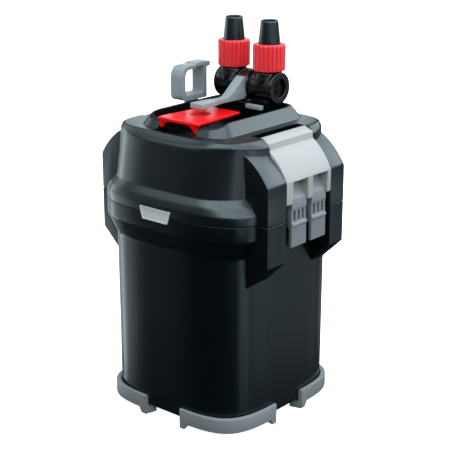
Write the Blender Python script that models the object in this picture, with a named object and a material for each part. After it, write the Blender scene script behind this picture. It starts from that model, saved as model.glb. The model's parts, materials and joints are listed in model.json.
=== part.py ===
"""Canister filter for an aquarium: canister, clamped pump head, hose valve and media stack.

All sizes below are in millimetres and become metres when a mesh is made. Heights are measured
from the underside of the feet's rims; the feet's legs stand FOOT_LEG below it, on the floor.
The badge faces -Y, the two clamps face +X and -X, and +Z is up.
"""
import bpy
import bmesh
from math import atan2, copysign, cos, pi, radians, sin

MM = 0.001
GAP = 0.3                      # running gap between neighbouring pieces
OUTLINE_POINTS = 48            # points round the canister's and the head's plan outlines
FOOT_LEG = 5.0

# plan outlines (height, half width in X, half depth in Y, squareness)
CANISTER_OUTER = ((2.2, 71.2, 72.8, 4.2), (4.4, 73.7, 75.3, 4.2), (152.4, 74.2, 75.7, 4.2),
                  (168.5, 85.4, 80.9, 3.8), (181.7, 85.4, 80.9, 3.8))
CANISTER_INNER = ((6.0, 70.2, 71.8, 4.2), (8.0, 71.2, 72.8, 4.2), (160.0, 71.7, 73.2, 4.2),
                  (166.0, 74.6, 74.0, 4.0), (183.0, 74.6, 74.0, 4.0))
HEAD_OUTER = ((182.0, 85.4, 80.9, 3.8), (188.1, 85.4, 80.9, 3.8), (201.4, 74.4, 76.0, 3.9),
              (240.7, 75.5, 70.5, 3.5), (246.5, 67.8, 65.0, 5.5))
HEAD_INNER = ((181.0, 80.0, 75.5, 3.8), (187.2, 80.0, 75.5, 3.8), (200.0, 71.2, 72.4, 3.9),
              (224.0, 71.6, 68.5, 3.6))
BASE_OUTER = ((172.0, 69.5, 69.0, 4.2), (182.6, 69.5, 69.0, 4.2), (182.6, 79.5, 75.0, 3.8),
              (186.6, 79.5, 75.0, 3.8))
DECK_CAVITY = (51.0, -55.0, 57.0, 222.0, 236.8)     # half width, front, back, low, high

FOOT_OUTER = (77.3, 78.6, 4.5)
FOOT_INNER = (74.2, 75.8, 4.3)
FOOT_LEDGE = (66.0, 67.6, 4.2)
FOOT_TOP = 12.8
FOOT_LEDGE_TOP = 1.9
FOOT_SPAN = (13.1, 75.7)       # degrees from the X axis where a foot starts and ends
FOOT_LEG_SPAN = 7.0            # degrees that each end leg takes, its ramp included
FOOT_STATIONS = 14

SHOULDER_OUT = 92.3            # outer face of the shoulders that flank each clamp
SHOULDER_Y = (-52.0, 51.2)     # front and rear faces of the shoulders
CLAMP_Y = (-27.6, 31.8)        # front and rear edges of a clamp panel
WINDOWS_Y = ((-19.6, 0.6), (7.2, 27.2))
SIDE_PLAY = 0.4                # play between a clamp panel and its shoulders
SEAM = 181.85                  # split line between head and canister

COLLAR_FOOT = (46.0, 57.0, 16.0, 245.8)             # half width, half depth, corner, height
COLLAR_TOP = (40.0, 51.5, 13.5, 256.8)
COLLAR_Y = 2.0
TROUGH_TOP = (36.8, 48.7, 12.5, 262.0)
TROUGH_FLOOR = (36.0, 47.8, 12.0, 240.5)
NOTCH_HALF = 20.5              # finger notch in the collar's front wall
SADDLE_HALF = 22.5

CLAMP_PIVOT = (66.8, 239.5)    # X and height of a clamp's hinge pin
TONGUE_PIVOT = (84.0, 201.2)
CLAMP_PIN_RADIUS = 1.75
TONGUE_PIN_RADIUS = 1.2

PORT_X = 19.4
VALVE_Y = 40.0
BARREL_Z = 271.8
ROTOR_RADIUS = 8.8
HUB_RADIUS = 13.4
HUB_HALF = 5.0

PRIMER_XY = (-46.8, 14.5)
PRIMER_BAND = (-53.6, -40.1)   # sides of the primer handle's band along X
WELL_XY = (0.0, -12.0)
GLAND_XZ = (30.0, 212.0)
BADGE = ((-20.3, 186.4), (14.4, 186.4), (10.9, 175.2), (-17.1, 175.2))
BASKET = (-26.0, 62.0, 57.0, 10.0, 1.6)             # left, right, half depth, corner, wall


def material(name, colour, roughness, metallic=0.0):
    mat = bpy.data.materials.new(name)
    mat.use_nodes = True
    shader = mat.node_tree.nodes["Principled BSDF"]
    shader.inputs["Base Color"].default_value = (*colour, 1.0)
    shader.inputs["Roughness"].default_value = roughness
    shader.inputs["Metallic"].default_value = metallic
    mat.diffuse_color = (*colour, 1.0)
    return mat


# ---------------------------------------------------------------- outlines and solids

def superellipse(half_x, half_y, power, z, count=OUTLINE_POINTS):
    loop = []
    for i in range(count):
        c, s = cos(2 * pi * i / count), sin(2 * pi * i / count)
        x = half_x * copysign(abs(c) ** (2 / power), c)
        y = half_y * copysign(abs(s) ** (2 / power), s)
        loop.append((x, y, z))
    return loop


def superellipse_point(half_x, half_y, power, angle):
    c, s = cos(angle), sin(angle)
    reach = ((abs(c) / half_x) ** power + (abs(s) / half_y) ** power) ** (-1 / power)
    return reach * c, reach * s


def rounded_corners(corners, steps=4):
    """Closed 2-D outline; each corner is (u, v, radius) and takes steps + 1 points."""
    outline = []
    total = len(corners)
    for i, (u, v, radius) in enumerate(corners):
        before, after = corners[i - 1], corners[(i + 1) % total]
        a = atan2(before[1] - v, before[0] - u)
        b = atan2(after[1] - v, after[0] - u)
        p0 = (u + radius * cos(a), v + radius * sin(a))
        p2 = (u + radius * cos(b), v + radius * sin(b))
        for k in range(steps + 1):
            t = k / steps
            wa, wm, wb = (1 - t) ** 2, 2 * t * (1 - t) * 0.62, t ** 2
            total_w = wa + wm + wb
            outline.append(((wa * p0[0] + wm * u + wb * p2[0]) / total_w,
                            (wa * p0[1] + wm * v + wb * p2[1]) / total_w))
    return outline


def rounded_box_loop(left, right, front, back, radius, z):
    corners = [(right, back, radius), (left, back, radius),
               (left, front, radius), (right, front, radius)]
    return [(x, y, z) for x, y in rounded_corners(corners)]


def circle(radius, along, centre, axis, count):
    """Circle round an axis; along is the place on that axis, centre the other two."""
    loop = []
    for i in range(count):
        a = 2 * pi * (i + 0.5) / count
        u, v = centre[0] + radius * cos(a), centre[1] + radius * sin(a)
        loop.append({"X": (along, u, v), "Y": (u, along, v), "Z": (u, v, along)}[axis])
    return loop


def arc(centre, radius, start, end, steps):
    """Points on an arc in a 2-D plane, angles in degrees."""
    points = []
    for i in range(steps + 1):
        a = radians(start + (end - start) * i / steps)
        points.append((centre[0] + radius * cos(a), centre[1] + radius * sin(a)))
    return points


def bulged(start, end, sagitta, steps):
    """Points between two 2-D points on a curve that stands proud by sagitta."""
    dx, dy = end[0] - start[0], end[1] - start[1]
    length = (dx * dx + dy * dy) ** 0.5
    points = []
    for i in range(1, steps):
        t = i / steps
        rise = 4 * sagitta * t * (1 - t)
        points.append((start[0] + dx * t - dy / length * rise,
                       start[1] + dy * t + dx / length * rise))
    return points


def add_object(name, loops, mat, cyclic=False, origin=(0.0, 0.0, 0.0)):
    """Skin a row of loops into one closed body; a cyclic row joins its last loop to its first."""
    mesh = bpy.data.meshes.new(name)
    bm = bmesh.new()
    rows = [[bm.verts.new(((x - origin[0]) * MM, (y - origin[1]) * MM, (z - origin[2]) * MM))
             for x, y, z in loop] for loop in loops]
    count = len(rows[0])
    pairs = list(zip(rows, rows[1:]))
    if cyclic:
        pairs.append((rows[-1], rows[0]))
    else:
        bm.faces.new(rows[0])
        bm.faces.new(rows[-1])
    for low, high in pairs:
        for i in range(count):
            j = (i + 1) % count
            bm.faces.new((low[i], low[j], high[j], high[i]))
    bmesh.ops.recalc_face_normals(bm, faces=bm.faces)
    bm.to_mesh(mesh)
    bm.free()
    obj = bpy.data.objects.new(name, mesh)
    obj.location = (origin[0] * MM, origin[1] * MM, (origin[2] + FOOT_LEG) * MM)
    if mat is not None:
        mesh.materials.append(mat)
    bpy.context.scene.collection.objects.link(obj)
    return obj


def loft(name, profile, mat):
    return add_object(name, [superellipse(hx, hy, n, z) for z, hx, hy, n in profile], mat)


def turned(name, profile, centre, axis, count, mat, hollow=False, origin=(0.0, 0.0, 0.0)):
    """Turn (radius, place along the axis) points; a hollow profile is a closed ring section."""
    loops = [circle(radius, along, centre, axis, count) for radius, along in profile]
    return add_object(name, loops, mat, cyclic=hollow, origin=origin)


def prism_y(name, outline, front, back, mat, origin=(0.0, 0.0, 0.0)):
    loops = [[(x, y, z) for x, z in outline] for y in (front, back)]
    return add_object(name, loops, mat, origin=origin)


def prism_x(name, outline, left, right, mat, origin=(0.0, 0.0, 0.0)):
    loops = [[(x, y, z) for y, z in outline] for x in (left, right)]
    return add_object(name, loops, mat, origin=origin)


def prism_z(name, outline, low, high, mat, origin=(0.0, 0.0, 0.0)):
    loops = [[(x, y, z) for x, y in outline] for z in (low, high)]
    return add_object(name, loops, mat, origin=origin)


def box(name, x, y, z, mat=None, origin=(0.0, 0.0, 0.0)):
    outline = ((x[0], y[0]), (x[1], y[0]), (x[1], y[1]), (x[0], y[1]))
    return prism_z(name, outline, z[0], z[1], mat, origin)


def combine(target, tool, operation):
    tool.hide_render = True
    tool.display_type = "WIRE"
    modifier = target.modifiers.new(tool.name, "BOOLEAN")
    modifier.operation = operation
    modifier.object = tool


def cut(target, *tools):
    for tool in tools:
        combine(target, tool, "DIFFERENCE")


def fuse(target, *tools):
    for tool in tools:
        combine(target, tool, "UNION")


def mirrored(outline, side):
    """Outline of the right-hand clamp (side 1) or of the left-hand one (side -1)."""
    return [(x * side, z) for x, z in outline]


# ---------------------------------------------------------------- canister and feet

def shoulder_blocks(label, outline):
    """The four blocks that flank the clamps, for the canister or for the head."""
    bands = ((SHOULDER_Y[0], CLAMP_Y[0] - SIDE_PLAY), (CLAMP_Y[1] + SIDE_PLAY, SHOULDER_Y[1]))
    blocks = []
    for side in (1, -1):
        for k, (front, back) in enumerate(bands):
            name = f"{label}_{side}_{k}"
            blocks.append(prism_y(name, mirrored(outline, side), front, back, None))
    return blocks


def badge_recess(label):
    centre_x = sum(x for x, _ in BADGE) / 4
    centre_z = sum(z for _, z in BADGE) / 4
    grown = [(x + copysign(0.6, x - centre_x), z + copysign(0.6, z - centre_z)) for x, z in BADGE]
    return prism_y(label, grown, -90.0, -79.2, None)


def canister(mat):
    body = loft("canister", CANISTER_OUTER, mat)
    outline = [(69.0, 181.7), (SHOULDER_OUT, 181.7), (SHOULDER_OUT, 146.8), (72.5, 128.0),
               (69.0, 124.7)]
    fuse(body, *shoulder_blocks("canister_shoulder", outline))
    cut(body, loft("canister_hollow", CANISTER_INNER, None), badge_recess("canister_badge_recess"))


def foot(name, quadrant_x, quadrant_y, mat):
    """Rim round one corner, with a ledge under the canister and a leg at each end."""
    loops = []
    for i in range(FOOT_STATIONS + 1):
        degrees = FOOT_SPAN[0] + (FOOT_SPAN[1] - FOOT_SPAN[0]) * i / FOOT_STATIONS
        from_end = min(degrees - FOOT_SPAN[0], FOOT_SPAN[1] - degrees)
        under = -FOOT_LEG if from_end < FOOT_LEG_SPAN else 0.0
        section = []
        for outline, z in ((FOOT_OUTER, under), (FOOT_OUTER, FOOT_TOP), (FOOT_INNER, FOOT_TOP),
                           (FOOT_INNER, FOOT_LEDGE_TOP), (FOOT_LEDGE, FOOT_LEDGE_TOP),
                           (FOOT_LEDGE, under)):
            x, y = superellipse_point(*outline, radians(degrees))
            section.append((x * quadrant_x, y * quadrant_y, z))
        loops.append(section)
    add_object(name, loops, mat)


# ---------------------------------------------------------------- head

def pin_bores(label, radius, front, back):
    return [turned(f"{label}_{side}", ((radius, front), (radius, back)),
                   (side * CLAMP_PIVOT[0], CLAMP_PIVOT[1]), "Y", 16, None) for side in (1, -1)]


def clamp_pockets():
    outline = [(55.5, 262.0), (55.5, 234.5), (70.0, 234.5), (70.0, 229.0), (76.5, 227.0),
               (100.0, 227.0), (100.0, 262.0)]
    play = SIDE_PLAY
    return [prism_y(f"clamp_pocket_{side}", mirrored(outline, side), CLAMP_Y[0] - play,
                    CLAMP_Y[1] + play, None) for side in (1, -1)]


def collar_loop(section):
    half_x, half_y, corner, z = section
    return rounded_box_loop(-half_x, half_x, COLLAR_Y - half_y, COLLAR_Y + half_y, corner, z)


def head_shell(mat):
    shell = loft("head_shell", HEAD_OUTER, mat)
    top = (70.3, 236.4)
    edge = (SHOULDER_OUT, 213.2)
    outline = [(66.0, 182.0), (SHOULDER_OUT, 182.0), edge] + bulged(edge, top, -2.0, 6)
    outline += [top, (66.0, 238.2)]
    fuse(shell, *shoulder_blocks("head_shoulder", outline))
    fuse(shell, add_object("collar_solid", [collar_loop(COLLAR_FOOT), collar_loop(COLLAR_TOP)],
                           None))
    boss = turned("primer_boss", ((6.6, 245.0), (6.2, 256.5)), PRIMER_XY, "Z", 20, None)
    fuse(shell, boss)
    cut(shell, loft("head_hollow", HEAD_INNER, None))
    half, front, back, low, high = DECK_CAVITY
    cut(shell, box("deck_hollow", (-half, half), (front, back), (low, high)))
    cut(shell, add_object("trough", [collar_loop(TROUGH_FLOOR), collar_loop(TROUGH_TOP)], None))
    cut(shell, box("finger_notch", (-NOTCH_HALF, NOTCH_HALF), (-63.4, -40.0), (241.0, 262.0)))
    wide = SADDLE_HALF + 0.5
    cut(shell, box("saddle_seat", (-wide, wide), (-55.6, -40.0), (253.4, 262.0)))
    cut(shell, *clamp_pockets())
    cut(shell, *pin_bores("clamp_pin_bore", CLAMP_PIN_RADIUS + 0.4, CLAMP_Y[0] - 7.4,
                          CLAMP_Y[1] + 7.4))
    for side in (1, -1):
        cut(shell, turned(f"valve_socket_{side}", ((8.9, 234.0), (8.9, 243.0)),
                          (side * PORT_X, VALVE_Y), "Z", 24, None))
    cut(shell, turned("primer_rod_bore", ((3.5, 220.0), (3.5, 260.0)), PRIMER_XY, "Z", 16, None))
    cut(shell, turned("gland_bore", ((4.9, 60.0), (4.9, 90.0)), GLAND_XZ, "Y", 16, None))
    cut(shell, badge_recess("head_badge_recess"))


def finger_saddle(mat):
    """Bridge over the finger notch, with an arched front and a leg down each side of it."""
    outline = [(-SADDLE_HALF, -55.0), (SADDLE_HALF, -55.0), (SADDLE_HALF, -47.0), (18.4, 3.0),
               (-18.4, 3.0), (-SADDLE_HALF, -47.0)]
    saddle = prism_z("finger_saddle", outline, 253.8, 256.0, mat)
    arch = [(-20.1, 254.6), (-20.1, 247.2), (-17.4, 247.2)] + bulged((-17.4, 247.2), (-9.0, 253.0),
                                                                     1.4, 4)
    arch += [(-9.0, 253.0), (9.0, 253.0)] + bulged((9.0, 253.0), (17.4, 247.2), 1.4, 4)
    arch += [(17.4, 247.2), (20.1, 247.2), (20.1, 254.6)]
    fuse(saddle, prism_y("saddle_arch", arch, -54.7, -51.4, None))


def head_base(mat):
    base = loft("head_base", BASE_OUTER, mat)
    well = ((11.5, 185.0), (11.5, 222.0))
    fuse(base, turned("rotor_well", well, WELL_XY, "Z", 24, None))
    bore = ((15.0, 171.0), (15.0, 180.0), (9.5, 180.0), (9.5, 220.5))
    cut(base, turned("rotor_bore", bore, WELL_XY, "Z", 24, None))
    for side in (1, -1):
        cut(base, turned(f"duct_bore_{side}", ((8.6, 170.0), (8.6, 188.0)),
                         (side * PORT_X, VALVE_Y), "Z", 24, None))


def seal_ring(mat):
    section = ((69.9, 69.4, 175.0), (69.9, 69.4, 179.0), (74.2, 73.6, 179.0), (74.2, 73.6, 175.0))
    loops = [superellipse(hx, hy, 4.1, z) for hx, hy, z in section]
    add_object("seal_ring", loops, mat, cyclic=True)


def badge(mat):
    prism_y("badge", BADGE, -80.9, -79.6, mat)


def cord_gland(mat):
    profile = ((2.6, 69.0), (4.4, 69.0), (4.4, 75.7), (6.6, 75.7), (6.6, 77.2), (5.2, 77.2),
               (3.9, 80.4), (2.6, 80.4))
    turned("cord_gland", profile, GLAND_XZ, "Y", 16, mat, hollow=True)


# ---------------------------------------------------------------- pump and ducts inside the head

def motor(steel, copper, plastic):
    box_outer = [(-24.0, -28.0), (24.0, -28.0), (24.0, 27.5), (-24.0, 27.5)]
    cover = prism_z("motor_cover", box_outer, 187.2, 225.0, plastic)
    cut(cover, box("motor_cover_hollow", (-22.5, 22.5), (-26.5, 26.0), (186.0, 223.5)))
    core = [(-18.8, -22.0), (-12.2, -22.0), (-12.2, 18.0), (12.2, 18.0), (12.2, -22.0),
            (18.8, -22.0), (18.8, 24.0), (-18.8, 24.0)]
    prism_z("stator_core", core, 198.0, 214.0, steel)
    for name, side in (("stator_coil_right", 1), ("stator_coil_left", -1)):
        outer, inner = (8.9, 22.1, 194.7, 217.3), (11.8, 19.2, 197.6, 214.4)
        loops = []
        for (near, far, low, high), y in ((outer, 1.0), (outer, 16.0), (inner, 16.0), (inner, 1.0)):
            loops.append([(side * near, y, low), (side * far, y, low), (side * far, y, high),
                          (side * near, y, high)])
        add_object(name, loops, copper, cyclic=True)


def impeller_group(magnet, plastic, ceramic, rubber):
    pivot = (*WELL_XY, 0.0)
    turned("rotor_magnet", ((1.9, 180.6), (8.7, 180.6), (8.7, 214.6), (1.9, 214.6)), WELL_XY, "Z",
           20, magnet, hollow=True, origin=pivot)
    count = 36
    loops = []
    for z, bladed in ((172.7, True), (179.5, True), (179.5, False), (172.7, False)):
        loop = []
        for i in range(count):
            a = 2 * pi * i / count
            radius = (13.6 if i % 6 == 0 else 4.6) if bladed else 1.9
            loop.append((WELL_XY[0] + radius * cos(a), WELL_XY[1] + radius * sin(a), z))
        loops.append(loop)
    add_object("impeller", loops, plastic, cyclic=True, origin=pivot)
    turned("impeller_shaft", ((1.5, 169.9), (1.5, 219.8)), WELL_XY, "Z", 12, ceramic)
    turned("shaft_bush_top", ((1.85, 215.8), (4.6, 215.8), (4.6, 220.1), (1.85, 220.1)), WELL_XY,
           "Z", 16, rubber, hollow=True)
    turned("shaft_bush_bottom", ((1.85, 169.4), (5.4, 169.4), (5.4, 171.9), (1.85, 171.9)),
           WELL_XY, "Z", 16, rubber, hollow=True)
    cover = turned("impeller_cover", ((5.8, 169.6), (18.0, 169.6), (18.0, 171.6), (5.8, 171.6)),
                   WELL_XY, "Z", 24, plastic, hollow=True)
    for i in range(4):
        a = pi / 4 + i * pi / 2
        centre = (WELL_XY[0] + 11.4 * cos(a), WELL_XY[1] + 11.4 * sin(a))
        cut(cover, turned(f"cover_inlet_{i}", ((3.0, 168.0), (3.0, 173.0)), centre, "Z", 10, None))


def ducts(mat):
    for name, side in (("inlet_duct", -1), ("outlet_duct", 1)):
        profile = ((6.2, 171.0), (8.2, 171.0), (8.2, 229.0), (6.2, 229.0))
        turned(name, profile, (side * PORT_X, VALVE_Y), "Z", 20, mat, hollow=True)


# ---------------------------------------------------------------- clamps and tongues

def clamp_section():
    """Section of a clamp panel: top lip, ridge, step, shoulder curve and upright face."""
    ridge, step, edge = (72.5, 242.7), (73.2, 237.0), (SHOULDER_OUT, 213.2)
    outer = [(64.0, 246.2), ridge, step] + bulged(step, edge, 2.0, 7) + [edge]
    outer += [(SHOULDER_OUT, 195.0)]
    inner = [(89.5, 195.0), (89.5, 212.2)] + bulged((89.5, 212.2), (70.6, 235.6), -1.6, 6)
    inner += [(70.6, 235.6), (69.8, 241.0), (64.0, 243.6)]
    return outer + inner


def clamp(label, side, mat, steel):
    pivot = (side * CLAMP_PIVOT[0], 0.0, CLAMP_PIVOT[1])
    panel = prism_y(f"{label}_clamp", mirrored(clamp_section(), side), *CLAMP_Y, mat, origin=pivot)
    hinge = (pivot[0], pivot[2])
    barrel = turned(f"{label}_barrel", ((3.3, CLAMP_Y[0] + 0.05), (3.3, CLAMP_Y[1] - 0.05)), hinge,
                    "Y", 16, None)
    fuse(panel, barrel)
    rib = [(91.0, 216.0), (91.0, 195.2), (87.6, 195.2), (80.6, 201.0), (80.6, 213.0), (84.0, 220.4)]
    edges = ((CLAMP_Y[0] + 0.1, WINDOWS_Y[0][0]), (WINDOWS_Y[0][1], WINDOWS_Y[1][0]),
             (WINDOWS_Y[1][1], CLAMP_Y[1] - 0.1))
    for k, (front, back) in enumerate(edges):
        fuse(panel, prism_y(f"{label}_rib_{k}", mirrored(rib, side), front, back, None))
    for k, (front, back) in enumerate(WINDOWS_Y):
        opening = [(79.0, 213.0), (79.0, 190.0), (99.0, 190.0), (99.0, 213.0)]
        cut(panel, prism_y(f"{label}_window_{k}", mirrored(opening, side), front, back, None))
    cut(panel, turned(f"{label}_clamp_bore", ((CLAMP_PIN_RADIUS + 0.4, CLAMP_Y[0] - 2.0),
                                              (CLAMP_PIN_RADIUS + 0.4, CLAMP_Y[1] + 2.0)),
                      hinge, "Y", 16, None))
    tongue_hinge = (side * TONGUE_PIVOT[0], TONGUE_PIVOT[1])
    span = (WINDOWS_Y[0][0] - 5.0, WINDOWS_Y[1][1] + 3.2)
    bore = TONGUE_PIN_RADIUS + 0.4
    cut(panel, turned(f"{label}_tongue_bore", ((bore, span[0]), (bore, span[1])), tongue_hinge,
                      "Y", 12, None))
    turned(f"{label}_clamp_pin", ((CLAMP_PIN_RADIUS, CLAMP_Y[0] - 7.0),
                                  (CLAMP_PIN_RADIUS, CLAMP_Y[1] + 7.0)), hinge, "Y", 12, steel)
    turned(f"{label}_tongue_pin", ((TONGUE_PIN_RADIUS, span[0] + 0.4),
                                   (TONGUE_PIN_RADIUS, span[1] - 0.4)), tongue_hinge, "Y", 12, steel)


def tongue(label, side, window, mat):
    """Finger tongue: ramp inside the window, grip slots, ridge and flat lower face."""
    section = [(87.8, 156.9), (91.0, 156.9), (91.9, 157.9), (91.9, 174.4), (92.3, 175.2),
               (92.3, 176.6), (91.2, 177.3), (91.2, 188.2), (91.7, 189.6), (91.0, 197.4),
               (90.2, 198.5), (87.6, 201.4), (85.4, 204.8), (83.2, 208.6), (82.2, 212.2),
               (80.4, 212.2), (80.0, 207.0), (80.4, 199.5), (82.6, 197.2), (86.6, 193.0),
               (86.6, 157.9)]
    front, back = WINDOWS_Y[window][0] + GAP, WINDOWS_Y[window][1] - GAP
    pivot = (side * TONGUE_PIVOT[0], 0.0, TONGUE_PIVOT[1])
    piece = prism_y(label, mirrored(section, side), front, back, mat, origin=pivot)
    bore = TONGUE_PIN_RADIUS + 0.4
    cut(piece, turned(f"{label}_bore", ((bore, front - 1.0), (bore, back + 1.0)),
                      (pivot[0], pivot[2]), "Y", 12, None))
    middle = (front + back) / 2
    for k in (-1, 0, 1):
        x = sorted((side * 89.6, side * 96.0))
        y = middle + 5.6 * k
        cut(piece, box(f"{label}_slot_{k}", x, (y - 1.5, y + 1.5), (178.4, 187.2)))


# ---------------------------------------------------------------- hose valve

def valve_body(mat):
    foot_section = [(-26.0, 241.6), (26.0, 241.6), (26.0, 262.0), (6.6, 262.0), (6.6, 257.2),
                    (-6.6, 257.2), (-6.6, 262.0), (-26.0, 262.0)]
    body = prism_y("valve_body", foot_section, VALVE_Y - 8.8, VALVE_Y + 8.8, mat)
    centre = (VALVE_Y, BARREL_Z)
    for side in (1, -1):
        barrel = ((12.4, 6.0), (12.6, 9.0), (12.4, 17.0), (12.7, 23.0), (13.5, 27.6), (13.7, 28.8),
                  (13.7, 31.0), (13.2, 31.6))
        profile = [(radius, side * along) for radius, along in barrel]
        port = ((11.0, 270.0), (11.0, 284.6), (9.6, 286.0), (9.6, 297.2))
        spigot = ((8.1, 229.6), (8.4, 230.4), (8.4, 243.5))
        place = (side * PORT_X, VALVE_Y)
        fuse(body, turned(f"barrel_{side}", profile, centre, "X", 24, None),
             turned(f"port_{side}", port, place, "Z", 16, None),
             turned(f"spigot_{side}", spigot, place, "Z", 16, None))
    for side in (1, -1):
        place = (side * PORT_X, VALVE_Y)
        ends = ((9.2, side * 5.0), (9.2, side * 33.0))
        cut(body, turned(f"rotor_bore_{side}", ends, centre, "X", 20, None),
            turned(f"water_way_{side}", ((5.6, 228.0), (5.6, 299.0)), place, "Z", 12, None))


def valve_rotor(name, side, mat):
    """Ball-valve core in a barrel, turned by the lever's hub, with a driver slot in its end."""
    pivot = (0.0, VALVE_Y, BARREL_Z)
    profile = ((ROTOR_RADIUS, side * 5.5), (ROTOR_RADIUS, side * 29.2))
    rotor = turned(name, profile, pivot[1:], "X", 24, mat, origin=pivot)
    cut(rotor, turned(f"{name}_way", ((5.2, 255.0), (5.2, 290.0)), (side * PORT_X, VALVE_Y), "Z",
                      16, None))
    x = sorted((side * 27.9, side * 31.0))
    cut(rotor, box(f"{name}_slot", x, (VALVE_Y - 0.9, VALVE_Y + 0.9),
                   (BARREL_Z - 6.4, BARREL_Z + 6.4)))


def lever(mat, hub_mat):
    pivot = (0.0, VALVE_Y, BARREL_Z)
    end = arc((VALVE_Y, BARREL_Z), HUB_RADIUS + 0.4, 143.0, 214.0, 5)
    side_view = [(-20.0, 262.9), (-20.0, 265.2), (-4.0, 265.4), (0.0, 266.2), (4.0, 268.0),
                 (26.0, 280.2)] + end + [(24.5, 261.8), (-4.0, 262.9)]
    arm = prism_x("lever", side_view, -3.6, 3.6, mat, origin=pivot)
    pad = [(-5.6, -33.0), (5.6, -33.0), (6.5, -31.6), (6.5, -17.0), (3.9, -9.0), (-3.9, -9.0),
           (-6.5, -17.0), (-6.5, -31.6)]
    fuse(arm, prism_z("lever_pad", pad, 262.5, 265.6, None))
    turned("lever_hub", ((HUB_RADIUS - 0.6, -HUB_HALF), (HUB_RADIUS, -HUB_HALF + 0.6),
                         (HUB_RADIUS, HUB_HALF - 0.6), (HUB_RADIUS - 0.6, HUB_HALF)),
           pivot[1:], "X", 24, hub_mat, origin=pivot)


def lock_nut(name, side, mat):
    """Ribbed nut: ribs stand on a round skirt, and a lip at the top holds the hose nipple."""
    ribs = 14
    count = ribs * 2
    pivot = (side * PORT_X, VALVE_Y, 0.0)
    section = ((9.95, 287.2, False), (13.0, 287.2, True), (13.2, 288.4, True), (13.2, 306.6, True),
               (12.9, 307.8, True), (9.6, 307.8, False), (9.6, 303.4, False), (9.95, 303.4, False))
    loops = []
    for radius, z, ribbed in section:
        loop = []
        for i in range(count):
            a = 2 * pi * i / count
            r = radius - (0.7 if ribbed and i % 2 else 0.0)
            loop.append((pivot[0] + r * cos(a), pivot[1] + r * sin(a), z))
        loops.append(loop)
    add_object(name, loops, mat, cyclic=True, origin=pivot)


def hose_nipple(name, side, mat):
    profile = ((5.6, 297.6), (9.5, 297.6), (9.5, 301.2), (9.15, 302.0), (9.1, 312.0), (7.3, 327.6),
               (7.0, 328.5), (5.9, 328.5), (5.6, 324.0))
    turned(name, profile, (side * PORT_X, VALVE_Y), "Z", 20, mat, hollow=True)


def valve_trim(rubber, grey):
    for name, side in (("valve_seal_left", -1), ("valve_seal_right", 1)):
        profile = ((8.7, 240.85), (9.6, 240.85), (9.6, 241.3), (8.7, 241.3))
        turned(name, profile, (side * PORT_X, VALVE_Y), "Z", 20, rubber, hollow=True)
    box("valve_stop_bar", (8.0, 25.0), (22.0, 26.0), (254.6, 258.4), grey)


# ---------------------------------------------------------------- primer

def primer(grey, plastic, rubber):
    outer = [(-4.5, 257.2, 6.0), (27.5, 257.2, 1.2), (27.5, 284.8, 0.4), (31.9, 284.8, 0.4),
             (31.9, 288.6, 1.0), (-4.5, 288.6, 10.0)]
    inner = [(-0.4, 260.8, 3.5), (23.6, 260.8, 1.5), (23.6, 270.0, 0.4), (23.6, 276.0, 0.4),
             (23.6, 284.9, 1.5), (-0.4, 284.9, 6.5)]
    left, right = PRIMER_BAND
    outer, inner = rounded_corners(outer, 3), rounded_corners(inner, 3)
    loops = [[(x, y, z) for y, z in outline]
             for outline, x in ((outer, left), (outer, right), (inner, right), (inner, left))]
    handle = add_object("primer_handle", loops, grey, cyclic=True)
    rod = ((3.0, 196.4), (3.0, 259.4))
    fuse(handle, turned("primer_rod", rod, PRIMER_XY, "Z", 12, None))
    turned("primer_piston", ((7.7, 191.5), (7.7, 196.0)), PRIMER_XY, "Z", 20, rubber)
    tube = turned("primer_barrel", ((9.6, 188.0), (9.6, 223.4)), PRIMER_XY, "Z", 20, plastic)
    cut(tube, turned("primer_barrel_bore", ((8.1, 190.0), (8.1, 226.0)), PRIMER_XY, "Z", 20, None))


# ---------------------------------------------------------------- media stack in the canister

def basket(name, low, high, mat):
    left, right, half, corner, wall = BASKET
    grown = (left, right, -half, half, corner)
    shrunk = (left + wall, right - wall, wall - half, half - wall, corner - wall)
    loops = [rounded_box_loop(*grown, low), rounded_box_loop(*grown, high),
             rounded_box_loop(*shrunk, high), rounded_box_loop(*shrunk, low + wall)]
    add_object(name, loops, mat)


def media_block(name, low, high, mat):
    left, right, half, corner, wall = BASKET
    inset = wall + 0.8
    limits = (left + inset, right - inset, inset - half, half - inset, corner - inset)
    add_object(name, [rounded_box_loop(*limits, low), rounded_box_loop(*limits, high)], mat)


def media_stack(plastic, red, ceramic, carbon, foam):
    basket("lower_basket", 8.6, 78.0, plastic)
    basket("upper_basket", 79.0, 148.4, plastic)
    media_block("lower_media", 11.0, 70.0, ceramic)
    media_block("upper_media", 81.4, 140.0, carbon)
    left, right, half, corner, _ = BASKET
    lid = [rounded_box_loop(left, right, -half, half, corner, z) for z in (149.0, 151.4)]
    add_object("basket_lid", lid, plastic)
    stem = [(14.0, 152.0), (22.0, 152.0), (22.0, 160.0), (36.0, 161.5), (36.0, 167.0), (0.0, 167.0),
            (0.0, 161.5), (14.0, 160.0)]
    prism_y("lift_handle", stem, -6.0, 6.0, red)
    frame = box("foam_frame", (-64.0, -28.5), (-53.0, 53.0), (8.6, 150.0), plastic)
    for k, cell in enumerate(((-62.4, -47.2), (-45.2, -30.1))):
        cut(frame, box(f"foam_cell_{k}", cell, (-51.4, 51.4), (10.4, 152.0)))
    for name, x in (("foam_pad_outer", (-61.9, -47.7)), ("foam_pad_inner", (-44.7, -30.6))):
        box(name, x, (-50.8, 50.8), (11.0, 148.0), foam)


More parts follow.
